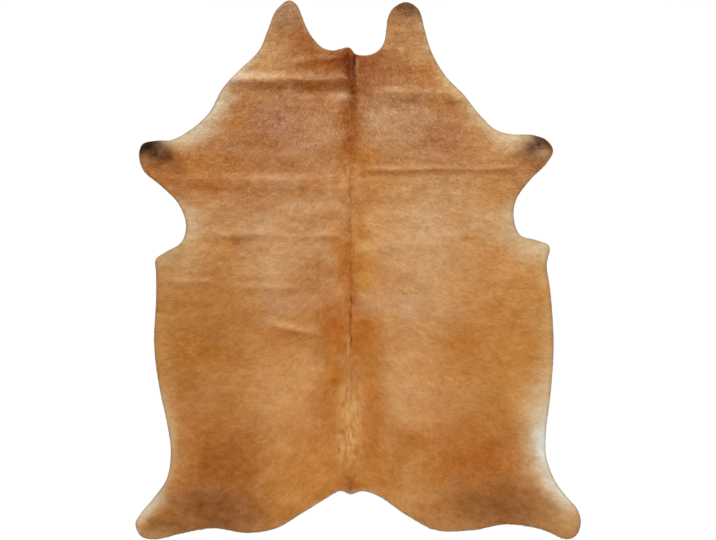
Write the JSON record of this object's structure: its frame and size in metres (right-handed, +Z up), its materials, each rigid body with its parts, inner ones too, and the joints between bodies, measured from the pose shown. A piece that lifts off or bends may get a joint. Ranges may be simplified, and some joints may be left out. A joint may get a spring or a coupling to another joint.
{
  "type": "cowhide rug",
  "caption": "Whole hair-on cowhide laid flat as a floor rug, with neck lobes, fore shanks, wide hind shanks and a few soft folds.",
  "frame": {"origin": "on the floor under the middle of the hide's plan", "axes": "+Y towards the neck, +X towards the hide's right side seen from above, +Z up out of the hair side"},
  "size_m": [1.818, 2.2, 0.0143],
  "materials": {
    "cow_hair": "short caramel hair lying flat on tanned leather"
  },
  "bodies": {
    "root": {"hide": "cow_hair"}
  },
  "joints": []
}
